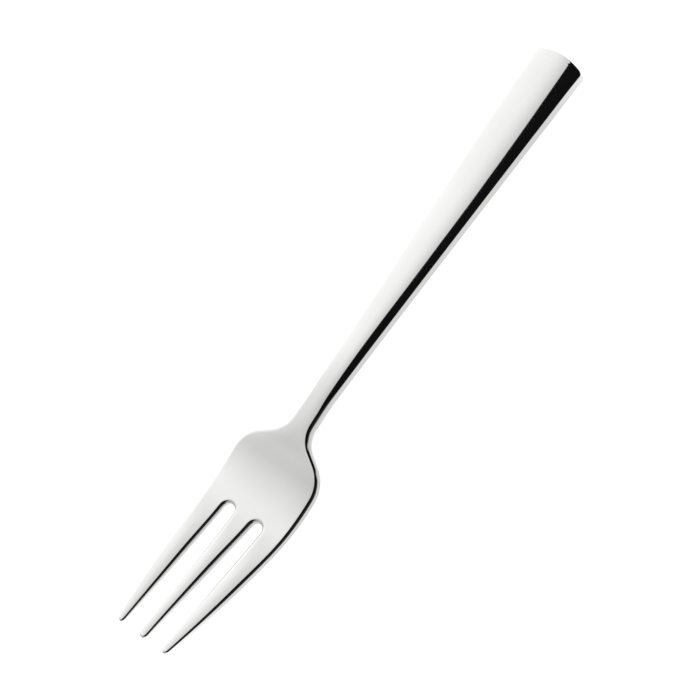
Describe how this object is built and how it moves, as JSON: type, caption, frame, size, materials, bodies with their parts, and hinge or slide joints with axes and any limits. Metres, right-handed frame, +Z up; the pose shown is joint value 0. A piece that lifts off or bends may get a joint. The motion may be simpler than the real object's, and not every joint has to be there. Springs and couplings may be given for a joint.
{
  "type": "pastry fork",
  "caption": "Slim pastry fork with tapering tines and a long flared handle, made from one piece of polished steel.",
  "frame": {"origin": "on the table, under the middle of the fork's length and width", "axes": "+X runs from the points of the tines to the end of the handle, +Y across the fork, +Z up from the table; the head's belly and the handle's end lie on Z = 0"},
  "size_m": [0.155, 0.0238, 0.0088],
  "materials": {
    "steel": "mirror-polished stainless steel"
  },
  "bodies": {
    "root": {"fork": "steel"}
  },
  "joints": []
}
